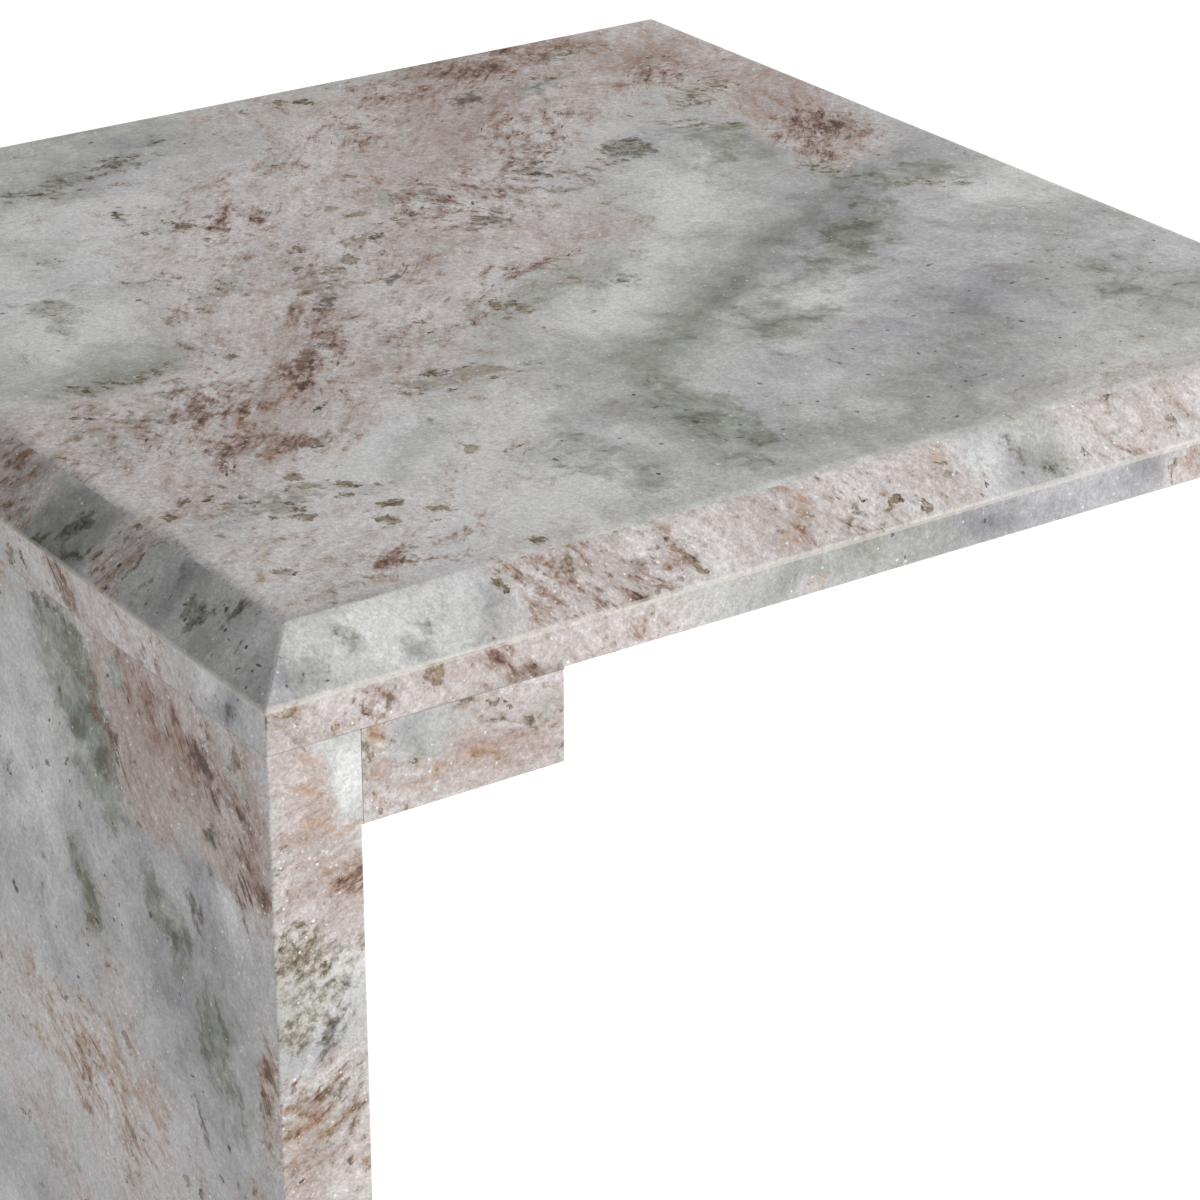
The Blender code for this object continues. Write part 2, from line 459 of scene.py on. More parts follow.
# %% [markdown]
# The pattern of the stone differs from face to face, because each face cuts through the rock at
# another angle. So each face is laid out flat on one large sheet of rock, like a sewing pattern
# on cloth. On the stone itself a face is measured from the stone's upper left front corner: s
# runs to the right as one looks at the face from outside, and t runs up. Each face has its own
# spot and its own turn on the sheet, and with the turn its streaks change direction.

# %% Sides of a stone, and their places on the sheet
SHEET_STEP = 0.9
SIDES = {
    "top": ((0, 0, 1), (1, 0, 0)),
    "underside": ((0, 0, -1), (1, 0, 0)),
    "front": ((0, -1, 0), (1, 0, 0)),
    "back": ((0, 1, 0), (-1, 0, 0)),
    "left": ((-1, 0, 0), (0, -1, 0)),
    "right": ((1, 0, 0), (0, 1, 0)),
}
for around in ("front", "back", "left", "right"):
    for level in ("top", "underside"):
        facing = Vector(SIDES[around][0]) + Vector(SIDES[level][0])
        SIDES[f"{around}_{level}_chamfer"] = (facing, SIDES[around][1])
for side, (facing, across) in SIDES.items():
    facing, across = Vector(facing).normalized(), Vector(across)
    SIDES[side] = (facing, across, facing.cross(across))
SHEET_TURN = {
    ("top_slab", "front_top_chamfer"): 103,
    ("top_slab", "left_top_chamfer"): -25,
    ("top_slab", "front"): 83,
    ("top_slab", "left"): 98,
    ("upright_panel", "left"): 98,
    ("upright_panel", "front"): 28,
    ("upper_cleat", "front"): 60,
}


def sheet_place(stone_name, side, s, t):
    """The place on the sheet, in metres, of a point that is s and t metres along a face."""
    column = STONES.index(stone_name) * SHEET_STEP
    row = list(SIDES).index(side) * SHEET_STEP
    turn = math.radians(SHEET_TURN.get((stone_name, side), 0))
    return (
        column + s * math.cos(turn) - t * math.sin(turn),
        row + s * math.sin(turn) + t * math.cos(turn),
    )


print("a stone has up to", len(SIDES), "sides, with its chamfers")

# %% [markdown]
# A UV map called "sheet" holds each corner's place on the sheet, in metres. Blender can unwrap
# a mesh by itself, but then the scale and the turn of a face are left to chance. Each face also
# gets the material slot of its side here. The rounded rim where a chamfer meets the side of the
# slab is marked as well, for a painted highlight: its finish lays pale cream along it.

# %% Lay the faces out
FLAT_ENOUGH = 0.999
# Slopes of the rounded chamfer rim that gets a painted highlight.
HIGHLIGHT_RIM_SLOPE = (0.05, 0.70)


def lay_on_sheet(piece, stone_name, guided_sides):
    """Gives a piece its sheet coordinates, and each face the material slot of its side."""
    low, high = stone_boxes[stone_name]
    corner = Vector((low.x, low.y, high.z))
    bm = bmesh.new()
    bm.from_mesh(piece.data)
    sheet = bm.loops.layers.uv.new("sheet")
    worn_edge = bm.faces.layers.float.new("worn_edge")
    for face in bm.faces:
        side = max(SIDES, key=lambda name: SIDES[name][0].dot(face.normal))
        facing, across, up = SIDES[side]
        is_round = facing.dot(face.normal) < FLAT_ENOUGH
        slope = face.normal.z * CHAMFERED_SIDE.get(stone_name, 0)
        # 1 marks the rounded chamfer rim that gets a painted highlight.
        face[worn_edge] = 1.0 if is_round and HIGHLIGHT_RIM_SLOPE[0] < slope < HIGHLIGHT_RIM_SLOPE[1] else 0.0
        face.material_index = guided_sides.index(side) + 1 if side in guided_sides else 0
        for loop in face.loops:
            point = loop.vert.co - corner
            loop[sheet].uv = sheet_place(stone_name, side, point.dot(across), point.dot(up))
    bm.to_mesh(piece.data)
    bm.free()


# This rim gets a painted highlight in the polish.
print("a rim is worn where its slope is between", *HIGHLIGHT_RIM_SLOPE)

# %% [markdown]
# The rock is a pale marble, clouded in grey-white and sage green, with bands of dusty pink that
# are full of brown strokes and olive grains. Noise alone makes a marble, but never this one. So
# soft elliptical patches say where each cloud and band lies, as a stone dealer would sketch it.
# The numbers of a patch are its centre s and t, and half its length and width, in millimetres,
# then its turn in degrees and its strength. Pink patches make bands, and plain ones keep them
# away. Blush deepens the pink, ochre yellows it, bright lightens a cloud, and sage darkens it.

# %% Ground of the top
Patch = namedtuple("Patch", "s t length width turn strength", defaults=(0, 1.0))
GUIDES = {}


def guide(stone_name, side, **kinds):
    """Adds patches to the guide of one face, kind by kind."""
    face = GUIDES.setdefault(stone_name, {}).setdefault(side, {})
    for kind, rows in kinds.items():
        face[kind] = [Patch(*numbers) for numbers in rows]
    print(stone_name, side, "patches:", sum(len(rows) for rows in kinds.values()))


guide(
    "top_slab", "top",
    pink=[
        (60, 150, 95, 52, 15, 1.2), (140, 195, 110, 60, 40, 1.2), (185, 270, 120, 85, 45, 1.3),
        (265, 340, 130, 70, 38, 1.3), (340, 395, 120, 60, 30, 1.3), (415, 400, 70, 75, 60, 1.2),
        (60, 45, 75, 44, 20, 0.5), (405, 300, 75, 36, 62, 1.5), (245, 262, 44, 26, 30, 0.7),
    ],
    plain=[
        (55, 290, 110, 68, 75, 1.2), (132, 400, 90, 44, 28, 1.1), (110, 100, 45, 22, 15, 0.5),
        (300, 150, 170, 90, 25, 1.2), (390, 120, 120, 110, 30, 1.1), (230, 60, 140, 60, 10, 1.1),
        (335, 255, 60, 48, 40), (345, 378, 38, 20, 10, 0.8),
    ],
    sage=[
        (65, 208, 50, 16, 10, 0.7), (68, 275, 34, 20, 60, 0.3), (130, 380, 45, 18, 20, 0.6),
        (180, 405, 40, 22, 20, 0.5), (262, 146, 110, 14, 38, 0.8), (272, 120, 26, 16, 40, 0.6),
        (350, 190, 70, 40, 35, 0.7), (330, 95, 60, 28, 20, 0.4), (372, 225, 40, 24, 60, 0.5),
        (385, 110, 34, 24, 60, 0.4), (200, 66, 34, 50, 70, 0.6), (300, 60, 60, 20, 0, 0.4),
        (400, 240, 36, 24, 10, 0.4), (345, 375, 40, 22, 20, 0.5), (230, 40, 40, 18, 0, 0.4),
        (395, 75, 60, 14, 20, 0.4), (365, 275, 46, 13, 60, 0.6),
    ],
    bright=[
        (315, 250, 50, 40, 45), (225, 160, 45, 26, 40, 0.8), (270, 196, 80, 18, 46, 0.5),
        (260, 110, 70, 16, 32, 0.2), (300, 135, 22, 16, 30, 0.7), (214, 78, 26, 16, 20, 0.5),
        (70, 245, 45, 18, 20, 0.7), (130, 330, 40, 26, 45, 0.7), (90, 110, 50, 20, 20, 0.7),
        (420, 190, 30, 50, 80, 0.6), (130, 50, 30, 40, 80, 0.5), (150, 350, 50, 22, 40, 0.6),
        (75, 60, 80, 50, 15), (70, 290, 80, 70, 0, 0.7), (145, 100, 50, 24, 35, 0.9),
        (170, 68, 10, 34, 0, 0.8), (110, 352, 44, 26, 40, 0.6),
    ],
    blush=[
        (405, 300, 75, 40, 60), (415, 390, 60, 70, 60, 0.9), (330, 420, 90, 34, 15, 0.8),
        (70, 150, 90, 34, 10, 0.5), (130, 185, 60, 28, 40, 0.7), (250, 325, 90, 40, 40, 0.5),
        (330, 380, 110, 60, 30, 0.8),
    ],
    ochre=[(75, 35, 36, 12, 30, 0.3), (90, 150, 60, 26, 20, 0.15), (390, 410, 70, 26, 20, 0.2)],
)

# %% [markdown]
# On that ground lie smaller things. Islands are angular pieces of sage marble. Moss and dusk are
# stains, one green and one nearly black. Strokes, olive and gravel say where brown crystals,
# olive grains and broken bits crowd together. Specks sprinkle black over an area, and dots are
# single black grains that catch the eye.

# %% Grains and stains of the top
guide(
    "top_slab", "top",
    island=[
        (151, 55, 38, 13, 86, 0.9), (198, 66, 48, 18, 70, 0.8), (280, 124, 60, 20, 45, 0.6),
        (68, 262, 34, 9, 70, 0.7), (350, 282, 40, 14, 45, 0.7), (345, 376, 34, 13, 25, 0.35),
        (280, 274, 24, 9, 25, 0.3), (400, 222, 40, 20, -10, 0.6), (345, 175, 80, 22, 45, 0.5),
        (380, 95, 60, 18, 60, 0.4),
    ],
    moss=[
        (62, 205, 50, 10, 8, 0.7), (40, 198, 16, 12, 0, 0.5), (66, 262, 20, 10, 70, 0.5),
        (84, 312, 16, 8, 10, 0.6), (280, 274, 30, 10, 20, 0.6), (352, 302, 36, 10, 35, 0.6),
        (152, 76, 14, 8, 80, 0.5), (196, 56, 30, 10, 70, 0.4), (132, 378, 40, 12, 15, 0.6),
        (362, 396, 30, 10, 20, 0.7), (395, 210, 50, 7, -22, 0.8), (372, 245, 26, 6, 70, 0.8),
        (200, 398, 26, 10, 20, 0.5), (125, 112, 34, 7, 15, 0.5), (240, 355, 30, 8, 15, 0.4),
        (390, 75, 70, 6, 12, 0.5), (262, 205, 18, 10, 60, 0.4), (235, 125, 40, 6, 60, 0.4),
    ],
    dusk=[
        (128, 382, 30, 11, 15, 0.9), (160, 390, 14, 12), (187, 402, 14, 12, 60, 0.6),
        (238, 268, 22, 10, 25, 0.9), (312, 380, 22, 10, 25, 1.1), (326, 296, 20, 11, 20, 1.2),
        (176, 137, 18, 8, 10, 0.6), (250, 186, 18, 8, -20, 0.7), (124, 182, 34, 9, 42),
        (160, 222, 20, 7, 50, 0.9), (188, 232, 24, 5, 50, 0.8), (300, 290, 18, 7, 20, 0.7),
        (385, 335, 20, 8, 20, 0.8), (360, 405, 18, 8, 20, 0.7), (148, 68, 14, 10, 20, 0.5),
        (190, 55, 20, 16, 40, 0.4), (60, 205, 40, 8, 8, 0.6), (285, 280, 16, 8, 10, 0.6),
    ],
    strokes=[
        (130, 185, 48, 18, 40), (58, 128, 26, 16, 40, 0.8), (78, 130, 14, 12, 50, 0.6),
        (85, 160, 70, 28, 15, 0.7), (150, 220, 30, 20, 60, 0.8), (195, 238, 24, 16, 55, 0.9),
        (170, 315, 40, 24, 60, 0.8), (205, 345, 30, 18, 55, 0.5), (75, 35, 34, 12, 30, 0.8),
        (395, 280, 60, 26, 62, 1.2), (340, 415, 80, 26, 15, 0.8), (390, 360, 50, 30, 50, 0.8),
        (230, 215, 60, 30, 45, 0.5), (260, 300, 80, 36, 42, 0.5), (320, 340, 60, 34, 40, 0.5),
        (270, 380, 70, 26, 40, 0.5),
    ],
    olive=[
        (165, 238, 24, 18, 40, 1.2), (58, 94, 56, 20, 8, 1.1), (150, 137, 40, 12, 8),
        (90, 124, 10, 14, 80, 1.1), (137, 139, 9, 8), (162, 136, 10, 8, 0, 0.9),
        (36, 180, 16, 12, 20, 1.1), (190, 262, 40, 16, 30, 0.9), (212, 186, 18, 12, -40, 1.1),
        (240, 186, 16, 8, 0, 0.9), (287, 298, 16, 12, 0, 1.1), (152, 318, 14, 10, 60, 0.9),
        (395, 333, 18, 9, 30, 0.8), (376, 414, 24, 9, 20, 0.9), (348, 388, 18, 5, -40, 0.9),
        (360, 308, 16, 5, -40, 0.9), (390, 214, 30, 7, -25, 0.9), (376, 236, 16, 6, 60, 0.8),
        (105, 272, 8, 12, 70, 0.9), (120, 300, 14, 10, 60, 0.6),
    ],
    gravel=[
        (385, 335, 36, 14, 25, 0.8), (360, 308, 24, 9, -30, 0.8), (326, 297, 22, 10, 10, 0.6),
        (372, 248, 20, 8, 70, 0.8), (395, 212, 38, 8, -22, 0.7), (350, 390, 28, 10, -30, 0.7),
        (375, 412, 30, 10, 20, 0.8), (130, 378, 40, 14, 15, 0.6), (165, 392, 26, 14, 0, 0.5),
        (62, 205, 50, 9, 8, 0.6), (66, 262, 24, 14, 70, 0.5), (240, 268, 20, 10, 20, 0.5),
    ],
    specks=[
        (370, 105, 70, 55, 40), (280, 70, 120, 50, 0, 0.6), (165, 400, 40, 30, 0, 0.8),
        (200, 60, 60, 40, 0, 0.6), (60, 290, 60, 60, 0, 0.2),
    ],
    dots=[
        (373, 62, 3, 2), (392, 76, 3, 2), (327, 35, 3, 2), (291, 52, 3, 2), (336, 23, 3, 2),
        (262, 35, 3, 2), (350, 104, 3, 2), (366, 120, 3, 2), (369, 130, 3, 2), (190, 64, 3, 3),
        (343, 134, 3, 2), (318, 92, 3, 2), (188, 82, 3, 3), (196, 52, 3, 3), (212, 50, 3, 2),
        (147, 69, 3, 2), (157, 385, 4, 3), (140, 372, 4, 3), (186, 402, 3, 3), (165, 415, 3, 3),
    ],
)

# %% [markdown]
# The chamfers cut the same bands at 45 degrees. The front chamfer is mostly pink and has a white
# corner on the left. The left chamfer is mostly white and sage, with dark grains near the corner
# and two pink bands further back.

# %% Chamfers of the top
guide(
    "top_slab", "front_top_chamfer",
    pink=[(120, 0, 48, 40, 0, 1.4), (200, 0, 80, 40, 0, 1.4), (375, 0, 110, 40, 0, 1.5)],
    plain=[(40, 0, 62, 40, 0, 1.6), (270, 0, 26, 30, 70, 1.4)],
    sage=[
        (6, -6, 18, 14, 0, 0.8), (37, -2, 6, 4, -50, 0.9), (58, -6, 10, 6, -30, 0.9),
        (86, 0, 10, 18, -60, 0.8), (272, -2, 12, 16, -60, 0.9), (20, -6, 12, 6, -30, 0.5),
    ],
    island=[(38, 3, 8, 4, -40, 0.5), (57, -5, 12, 5, -20, 0.5), (64, 2, 8, 4, 0, 0.4)],
    moss=[(38, 3, 8, 4, -40, 0.5), (57, -5, 12, 5, -20, 0.5), (86, 2, 12, 8, -60, 0.6)],
    bright=[(46, 0, 52, 28, 0, 1.1), (258, 0, 10, 16, -60, 0.6)],
    blush=[(125, 0, 30, 24, 0, 0.4), (182, 0, 16, 30, -60, 0.3), (340, 4, 60, 20, 0, 0.3)],
    ochre=[(182, 0, 9, 20, -60, 0.3), (112, 6, 20, 10, -50, 0.2)],
    strokes=[
        (108, 0, 34, 20, -50, 0.55), (132, -3, 20, 14, -50, 0.6), (182, 0, 16, 9, -60, 0.6),
        (205, -8, 8, 6, -55, 0.5), (312, -6, 14, 9, -55, 0.5), (380, 0, 60, 14, -30, 0.3),
    ],
    olive=[
        (130, 3, 9, 6, 0, 1.1), (146, 1, 6, 8, 20), (112, -2, 9, 6, -40, 0.8),
        (206, 0, 7, 8, -60, 1.1), (225, -8, 6, 4, 0, 0.9), (241, 3, 7, 5, -40, 1.1),
        (310, -8, 8, 5, -30, 1.1), (296, -2, 5, 6, 0, 0.7), (330, -5, 6, 5, -50, 0.9),
    ],
    dusk=[(110, 4, 10, 6, -50, 0.7), (268, 7, 12, 5, -60, 0.7), (278, -5, 9, 7, -60, 0.7)],
    gravel=[(116, 4, 16, 7, -50, 0.5), (150, 2, 8, 10, -60, 0.4)],
    specks=[(275, 0, 20, 20, 0, 0.6)],
    dots=[(7, 2, 2, 2), (16, -5, 2, 2), (20, -6, 2, 1), (24, -9, 2, 1), (6, -9, 2, 2)],
)
guide(
    "top_slab", "left_top_chamfer",
    pink=[(-180, 0, 32, 34, 0, 1.4), (-96, 0, 24, 34, 60, 0.8)],
    plain=[(-130, 0, 24, 40), (-45, 0, 60, 40, 0, 1.4), (-230, 0, 20, 40, 0, 0.6)],
    sage=[(-135, 0, 36, 40, 0, 0.9), (-40, 0, 80, 40, 0, 0.1), (-65, 2, 20, 12, 60, 0.6)],
    bright=[(-150, 6, 18, 8, 50, 0.5), (-50, -4, 30, 10, 60, 0.6), (-20, 0, 26, 14, 60, 0.8)],
    blush=[(-178, 0, 24, 24, 50, 0.6), (-95, 0, 20, 16, 50, 0.5)],
    strokes=[(-175, 0, 30, 24, 50, 0.5), (-100, 0, 26, 20, 50, 0.5)],
    olive=[(-118, -6, 16, 4, 50, 0.5)],
    moss=[
        (-135, -6, 20, 6, 55, 0.7), (-66, 6, 12, 8, 60, 0.8), (-36, 2, 16, 8, 70, 0.8),
        (-55, -6, 14, 7, 60, 0.7), (-76, -4, 14, 4, 60, 0.6),
    ],
    dusk=[
        (-127, 0, 10, 8, 60, 1.3), (-118, -8, 12, 4, 20, 0.9), (-142, -9, 12, 6, 30, 0.9),
        (-38, 2, 10, 5, 75, 1.1), (-50, -9, 9, 5, 60, 1.1), (-65, 6, 9, 6, 60, 0.9),
        (-16, 8, 6, 4, 60, 0.8), (-78, -6, 8, 5, 60, 0.7), (-85, 6, 10, 5, 60, 0.7),
    ],
    specks=[(-40, 0, 70, 30, 0, 1.2)],
    dots=[
        (-42, 0, 3, 2, 60), (-28, 4, 2, 1), (-31, -6, 2, 1), (-67, -4, 3, 1, 60), (-58, -6, 2, 1),
        (-20, -10, 3, 1, 60), (-12, -6, 2, 1),
    ],
)

# %% [markdown]
# The slab's straight edges are narrow, so a few patches are enough. Pink and white take turns
# along the front. The left edge is white at the corner and pink behind it.

# %% Straight edges of the top
guide(
    "top_slab", "front",
    pink=[
        (30, -22, 40, 16, 0, 1.3), (100, -22, 60, 18, 0, 1.3), (345, -22, 30, 16, 0, 1.2),
        (185, -28, 20, 6, 0, 0.6),
    ],
    plain=[(235, -22, 85, 18, 0, 1.5), (420, -22, 40, 18, 0, 0.9)],
    sage=[
        (175, -24, 18, 8, 0, 0.7), (255, -25, 24, 8, 0, 0.5), (310, -20, 14, 10, 0, 0.9),
        (235, -22, 130, 30, 0, 0.4),
    ],
    blush=[
        (78, -22, 20, 9, -25, 0.5), (335, -22, 16, 9, 0, 0.7), (70, -22, 120, 30, 0, 0.5),
        (345, -22, 50, 30, 0, 0.5),
    ],
    strokes=[
        (34, -24, 14, 8, -20, 1.1), (78, -22, 20, 8, -25, 1.1), (335, -22, 18, 9, -35, 1.3),
        (120, -22, 40, 12, 0, 0.4),
    ],
    olive=[(70, -20, 8, 4, 0, 0.6), (345, -26, 6, 4, 0, 0.7)],
    dusk=[(38, -23, 9, 5, 0, 0.6), (336, -22, 9, 6, 0, 0.7), (176, -24, 9, 4, 0, 0.5)],
    specks=[(230, -22, 70, 14, 0, 0.5)],
)
guide(
    "top_slab", "left",
    pink=[(-90, -22, 48, 14, 0, 1.3), (-145, -20, 26, 10, 0, 0.5)],
    plain=[(-190, -22, 50, 20, 0, 1.3), (-18, -22, 26, 18, 0, 1.3)],
    sage=[(-144, -22, 10, 12, 70, 0.7), (-18, -24, 12, 10, 70, 0.9)],
    bright=[(-30, -20, 14, 10, 0, 0.8), (-180, -22, 40, 14, 0, 0.5)],
    blush=[(-110, -22, 24, 9, -50, 0.7)],
    strokes=[(-112, -22, 20, 9, -50, 1.3), (-70, -24, 26, 9, -40, 0.5)],
    olive=[(-118, -26, 9, 3, -50, 0.6)],
    dusk=[(-112, -24, 14, 3, -52), (-17, -25, 6, 7, 0, 0.8)],
    specks=[(-20, -24, 20, 14, 0, 1.6), (-170, -22, 40, 14, 0, 0.5)],
)

# %% [markdown]
# The upright is another slab of the same rock, and its bands fall to the right. Its broad left
# face has a pink band at the top, next to a sage island with straight sides. Lower down, where
# the picture ends, a few broad patches carry the bands on.

# %% Left face of the upright
guide(
    "upright_panel", "left",
    pink=[
        (-66, -22, 88, 42, -12, 1.5), (-4, -105, 32, 13, 88), (-10, -30, 24, 36, 0, 0.6),
        (-120, -160, 80, 34, -10, 0.7), (-60, -260, 100, 50, -30, 0.6),
        (-300, -200, 120, 60, -20, 0.9), (-380, -60, 70, 60, 20, 0.8), (-200, -400, 160, 70, -25),
    ],
    plain=[
        (-165, -70, 80, 70, -50, 1.3), (-110, -45, 62, 26, -45), (-46, -98, 56, 52, -60, 1.3),
        (-20, -60, 18, 24, -80, 0.5), (-260, -80, 80, 80, 0, 0.8), (-40, -330, 70, 60, 0, 0.9),
        (-180, -270, 70, 60, -30, 0.8),
    ],
    sage=[
        (-44, -95, 50, 44, -60, 0.7), (-108, -90, 26, 12, -60, 1.2), (-108, -32, 50, 24, -45, 0.8),
        (-40, -52, 30, 13, -60, 0.8), (-165, -70, 20, 14, 0, 0.4), (-30, -190, 40, 26, -50, 0.8),
        (-230, -160, 40, 30, -40, 0.7),
    ],
    island=[
        (-122, -20, 30, 22, -30), (-98, -44, 30, 22, -48), (-86, -8, 11, 6, -15, 0.9),
        (-36, -105, 34, 20, -70, 0.5), (-64, -80, 22, 16, -30, 0.5), (-110, -92, 22, 8, -60, 0.7),
    ],
    bright=[(-160, -60, 50, 40, -50, 0.6), (-18, -62, 12, 22, -80, 0.8)],
    blush=[
        (-62, -22, 90, 44, -10, 1.3), (-6, -40, 10, 40, 0, 0.6), (-6, -110, 12, 30, 0, 0.8),
        (-40, -55, 50, 30, -30, 0.5),
    ],
    ochre=[
        (-35, -18, 30, 8, -15, 0.4), (-10, -98, 10, 20, 0, 0.3), (-110, -150, 60, 30, 0, 0.45),
        (-62, -140, 26, 12, -60, 0.4), (-22, -150, 16, 30, 0, 0.4),
    ],
    strokes=[
        (-60, -12, 60, 14, -12, 0.9), (-30, -20, 40, 10, -10), (-8, -45, 12, 30, 0, 0.8),
        (-8, -105, 12, 26, 0, 1.1), (-92, -33, 24, 8, -30), (-120, -165, 60, 30, -20, 0.4),
        (-46, -40, 26, 12, -40, 0.8),
    ],
    olive=[(-112, -92, 18, 6, -60), (-88, -34, 16, 5, -40, 0.8), (-46, -75, 9, 6, -50, 0.8)],
    moss=[
        (-165, -65, 12, 9, 0, 0.7), (-108, -92, 26, 8, -55, 1.1), (-60, -72, 26, 10, -20, 0.6),
        (-142, -104, 8, 5, 0, 0.6), (-30, -55, 20, 8, -60, 0.6), (-35, -110, 26, 12, -60, 0.5),
    ],
    dusk=[
        (-46, -72, 13, 8, -60), (-27, -40, 11, 7, -50, 0.9), (-54, -138, 12, 7, -60, 0.9),
        (-136, -3, 14, 5, -15, 0.8), (-92, -31, 22, 3, -25, 0.8), (-118, -7, 14, 3, -10, 0.6),
    ],
    specks=[(-150, -60, 60, 60, 0, 0.9), (-90, -100, 60, 50, 0, 0.6)],
    dots=[
        (-178, -28, 3, 3), (-170, -22, 3, 3), (-160, -15, 2, 2), (-127, -31, 4, 3), (-134, -57, 3, 3),
        (-110, -68, 4, 3), (-165, -72, 3, 2), (-141, -93, 3, 3), (-162, -117, 3, 3), (-90, -11, 4, 3),
        (-106, -98, 3, 2), (-38, -134, 3, 3), (-54, -122, 3, 2), (-118, -55, 3, 2),
    ],
)

# %% [markdown]
# The front of the upright and the front of the cleat meet under the top. Both are pink, with
# a white corner high on the upright and a pale patch on the cleat, and both hold some gravel and
# olive grains. All other faces get no guide, and noise alone draws their bands.

# %% Fronts of the upright and the cleat
guide(
    "upright_panel", "front",
    pink=[
        (10, -30, 22, 34, 0, 1.2), (15, -60, 26, 22, 0, 1.2), (14, -128, 26, 32, 0, 1.2),
        (15, -220, 30, 60, 0, 0.8), (15, -420, 30, 70, 0, 0.9),
    ],
    plain=[(24, -12, 12, 18, 0, 2.2), (15, -82, 24, 24, 0, 0.9), (15, -310, 30, 50, 0, 0.9)],
    sage=[(12, -300, 20, 40, 0, 0.6)],
    bright=[(23, -12, 12, 16, 0, 0.8), (18, -80, 20, 24, 0, 0.4)],
    blush=[(14, -44, 24, 28, 0, 1.2), (8, -16, 14, 20), (15, -130, 22, 28, 0, 0.9)],
    ochre=[(18, -28, 20, 5, -30, 0.5), (8, -10, 8, 8, 0, 0.3), (12, -120, 20, 20, 0, 0.25)],
    strokes=[
        (22, -50, 10, 7, 0, 0.9), (14, -40, 20, 22, 0, 0.3), (15, -115, 24, 24, 0, 0.4),
        (15, -84, 24, 20, 0, 0.3),
    ],
    olive=[(3, -60, 7, 9, 70, 0.9), (14, -76, 26, 22, 40, 0.4), (18, -94, 12, 7, 40, 0.7)],
    gravel=[
        (12, -74, 30, 24, 0, 0.7), (4, -62, 12, 14, 0, 0.7), (8, -88, 16, 10, 0, 0.5),
        (24, -130, 14, 10, 30, 0.6),
    ],
    moss=[(14, -74, 30, 30, 0, 0.4), (3, -66, 9, 14, 0, 0.6), (24, -130, 14, 10, 30, 0.6)],
    dusk=[
        (3, -58, 7, 9, 60), (18, -94, 14, 7, 45, 1.2), (20, -71, 9, 5, 0, 0.8),
        (20, -113, 10, 4, -50, 0.8),
    ],
)
guide(
    "upper_cleat", "front",
    pink=[(35, -15, 60, 34, 0, 1.3)],
    plain=[(26, -11, 24, 16, 20, 2.0), (52, -12, 16, 12, 0, 0.9), (64, -14, 10, 20, 0, 0.3)],
    sage=[(24, -14, 18, 14, 20, 0.8), (50, -12, 20, 14, 20, 0.7)],
    gravel=[
        (20, -19, 9, 5, 0, 0.7), (60, -27, 9, 5, 20, 0.8), (50, -13, 12, 7, 0, 0.6),
        (36, -3, 7, 4, 30, 0.6), (4, -16, 5, 14, 0, 0.6),
    ],
    blush=[(8, -6, 6, 7, 0, 0.6), (8, -24, 10, 8, 0, 0.5), (38, -16, 60, 34, 0, 0.7)],
    ochre=[(8, -6, 5, 7, 0, 1.2), (26, -25, 24, 7, 0, 0.2), (58, -8, 14, 10, 0, 0.2)],
    strokes=[(8, -6, 6, 7), (19, -19, 6, 5), (35, -3, 6, 4, 0, 0.8), (45, -15, 20, 14, 0, 0.4)],
    olive=[(59, -28, 4, 3)],
    dusk=[(19, -19, 4, 3, 0, 0.6)],
)

# %% [markdown]
# Here the patches become numbers on the surface. A Mapping node moves, turns and shrinks the
# sheet so that a patch becomes a unit disc, and a spherical gradient is 1 in its middle and 0 at
# its rim. All patches of one kind are added up. The sheet is bent first, by noise that is coarse,
# medium and fine. This gives the patches the frayed outlines of real rock, and no ellipse is
# left to see.

# %% From patches to fields
MILLIMETRE = 0.001
BENDS = ((9.0, 0.034, 2.0), (45.0, 0.013, 3.0), (260.0, 0.0040, 2.0))


def bent_sheet(finish):
    """The flat sheet, and the sheet bent by one, two and all three of the noises."""
    bent = [finish.node("ShaderNodeUVMap", {"uv_map": "sheet"}, {})]
    for scale, reach, detail in BENDS:
        drift = finish.noise(bent[0], scale, detail, output="Color")
        middle = finish.vector("SUBTRACT", drift, (0.5, 0.5, 0.5))
        bent.append(finish.vector("MULTIPLY_ADD", middle, (reach, reach, 0.0), bent[-1]))
    return bent


def patch_value(finish, place, stone_name, side, patch):
    centre = sheet_place(stone_name, side, patch.s * MILLIMETRE, patch.t * MILLIMETRE)
    turn = math.radians(patch.turn + SHEET_TURN.get((stone_name, side), 0))
    size = (patch.length * MILLIMETRE, patch.width * MILLIMETRE, 1.0)
    disc = finish.node(
        "ShaderNodeMapping", {"vector_type": "TEXTURE"},
        {"Vector": place, "Location": (*centre, 0.0), "Rotation": (0.0, 0.0, turn), "Scale": size})
    return finish.node(
        "ShaderNodeTexGradient", {"gradient_type": "SPHERICAL"}, {"Vector": disc}, "Fac")


def sum_of_patches(finish, place, stone_name, side, kind):
    """The sum of all patches of one kind on a face, each times its strength."""
    total = 0.0
    for patch in GUIDES.get(stone_name, {}).get(side, {}).get(kind, ()):
        total = patch_value(finish, place, stone_name, side, patch) * patch.strength + total
    return total


print("bends reach", [reach / MILLIMETRE for scale, reach, detail in BENDS], "mm")

# %% [markdown]
# The rock flowed before it set, so most of its noises are stretched along one direction: the
# place is measured in cells that are longer along the flow than across it. All layers share the
# same noises, from coarse bands to fine grit, so that a stain follows the band that it lies in.
# Everything that the layers read is kept together under the name rock.

# %% What the layers read
FLOW = math.radians(48)
CRYSTALS_PER_METRE = 1600.0
KINDS = (
    "pink", "plain", "sage", "island", "bright", "blush", "ochre", "strokes", "olive", "gravel",
    "moss", "dusk", "specks",
)


